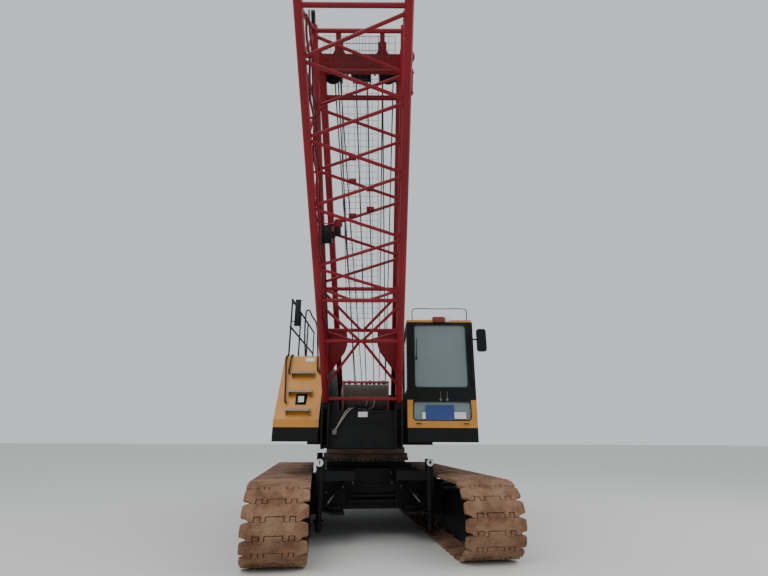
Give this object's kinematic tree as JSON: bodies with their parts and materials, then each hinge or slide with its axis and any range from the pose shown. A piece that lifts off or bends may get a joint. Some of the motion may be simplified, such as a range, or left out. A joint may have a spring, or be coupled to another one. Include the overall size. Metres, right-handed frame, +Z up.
{
  "type": "crawler crane",
  "caption": "Crawler crane on two tracks with a slewing upper, operator's cab, winches, counterweight, the butt section of its lattice boom and a live mast.",
  "frame": {"origin": "on the ground under the middle of the whole crane", "axes": "+Z up; the tracks run along Y with their front towards -Y; +X towards the cab's side"},
  "size_m": [3.6937, 9.5205, 6.2701],
  "materials": {
    "yellow_paint": "satin, dusty",
    "black_paint": "satin",
    "red_paint": "gloss, weathered",
    "rusty_shoes": "rusty and muddy",
    "worn_steel": "worn",
    "greased_steel": "greasy",
    "galvanised_steel": "dull",
    "cast_iron": "rough",
    "pane": "clear, dusty",
    "seat_cloth": "woven"
  },
  "bodies": {
    "undercarriage": {"carbody": "black_paint", "axle_beams": "black_paint", "slew_ring": "greased_steel", "side_frame_left": "black_paint", "side_frame_right": "black_paint", "track_left": "rusty_shoes", "track_right": "rusty_shoes", "end_wheels": "worn_steel", "track_rollers": "worn_steel", "jack_tubes": "black_paint"},
    "jack_1": {"jack_1": "black_paint"},
    "jack_2": {"jack_2": "black_paint"},
    "jack_3": {"jack_3": "black_paint"},
    "jack_4": {"jack_4": "black_paint"},
    "left_door_1": {"left_door_1": "yellow_paint"},
    "left_door_2": {"left_door_2": "yellow_paint"},
    "engine_door": {"engine_door": "yellow_paint"},
    "cab_door": {"cab_door": "black_paint"},
    "drum_front": {"drum_front": "worn_steel"},
    "drum_rear": {"drum_rear": "worn_steel"},
    "drum_luffing": {"drum_luffing": "worn_steel"},
    "boom": {"boom_chords": "red_paint", "boom_plates": "red_paint", "boom_side_lacing": "red_paint", "boom_front_lacing": "red_paint", "boom_rear_lacing": "red_paint", "boom_braces": "red_paint", "boom_walkway": "black_paint", "boom_lugs": "black_paint"},
    "mast": {"mast_legs": "red_paint", "mast_head": "red_paint", "mast_sheaves": "black_paint"},
    "upper": {"ring_cover": "black_paint", "main_frame": "black_paint", "foot_brackets": "black_paint", "front_plate": "black_paint", "skirt_left": "black_paint", "skirt_right": "black_paint", "left_front": "yellow_paint", "left_side": "yellow_paint", "left_inner_wall": "black_paint", "left_roof": "yellow_paint", "left_steps": "galvanised_steel", "left_rails": "black_paint", "fuel_tank": "black_paint", "engine_side": "yellow_paint", "engine_wall": "yellow_paint", "engine_roof": "yellow_paint", "engine": "cast_iron", "winch_frames": "black_paint", "rear_bail": "black_paint", "weight_base": "black_paint", "weight_slabs": "black_paint", "cab_floor": "black_paint", "cab_walls": "black_paint", "cab_nose": "yellow_paint", "cab_roof": "yellow_paint", "cab_glass": "pane", "cab_seat": "seat_cloth", "mirror_and_lamps": "black_paint"}
  },
  "joints": [
    {"name": "slew", "type": "hinge", "parent": "undercarriage", "child": "upper", "pos_m": [-0.167, 0.732, 1.2], "axis": [0, 0, 1], "continuous": true},
    {"name": "boom_luff", "type": "hinge", "parent": "upper", "child": "boom", "pos_m": [-0.39636, -0.94236, 1.9], "axis": [-0.9907, 0.1357, 0], "range_deg": [-24, 26]},
    {"name": "mast_luff", "type": "hinge", "parent": "upper", "child": "mast", "pos_m": [-0.072, 1.42552, 1.81], "axis": [-0.9907, 0.1357, 0], "range_deg": [-18.5, 20]},
    {"name": "drum_front_turn", "type": "hinge", "parent": "upper", "child": "drum_front", "pos_m": [-0.224, 0.31589, 2.08], "axis": [0.9907, -0.1357, 0], "continuous": true},
    {"name": "drum_rear_turn", "type": "hinge", "parent": "upper", "child": "drum_rear", "pos_m": [-0.10186, 1.20756, 2.08], "axis": [0.9907, -0.1357, 0], "continuous": true},
    {"name": "drum_luffing_turn", "type": "hinge", "parent": "upper", "child": "drum_luffing", "pos_m": [0.03657, 2.21812, 2.08], "axis": [0.9907, -0.1357, 0], "continuous": true},
    {"name": "jack_1_stroke", "type": "slide", "parent": "undercarriage", "child": "jack_1", "axis": [0, 0, -1], "range_m": [0, 0.45]},
    {"name": "jack_2_stroke", "type": "slide", "parent": "undercarriage", "child": "jack_2", "axis": [0, 0, -1], "range_m": [0, 0.45]},
    {"name": "jack_3_stroke", "type": "slide", "parent": "undercarriage", "child": "jack_3", "axis": [0, 0, -1], "range_m": [0, 0.45]},
    {"name": "jack_4_stroke", "type": "slide", "parent": "undercarriage", "child": "jack_4", "axis": [0, 0, -1], "range_m": [0, 0.45]},
    {"name": "left_door_1_hinge", "type": "hinge", "parent": "upper", "child": "left_door_1", "pos_m": [-1.43858, 1.20495, 2], "axis": [0, 0, -1], "range_deg": [0, 95]},
    {"name": "left_door_2_hinge", "type": "hinge", "parent": "upper", "child": "left_door_2", "pos_m": [-1.32865, 2.00745, 2], "axis": [0, 0, -1], "range_deg": [0, 95]},
    {"name": "engine_door_hinge", "type": "hinge", "parent": "upper", "child": "engine_door", "pos_m": [1.76032, 2.17983, 2], "axis": [0, 0, 1], "range_deg": [0, 95]},
    {"name": "cab_door_hinge", "type": "hinge", "parent": "upper", "child": "cab_door", "pos_m": [1.45469, -0.05134, 2], "axis": [0, 0, 1], "range_deg": [0, 80]}
  ],
  "couplings": [
    {"joint": "mast_luff", "follows": "boom_luff", "ratio": 0.75}
  ]
}
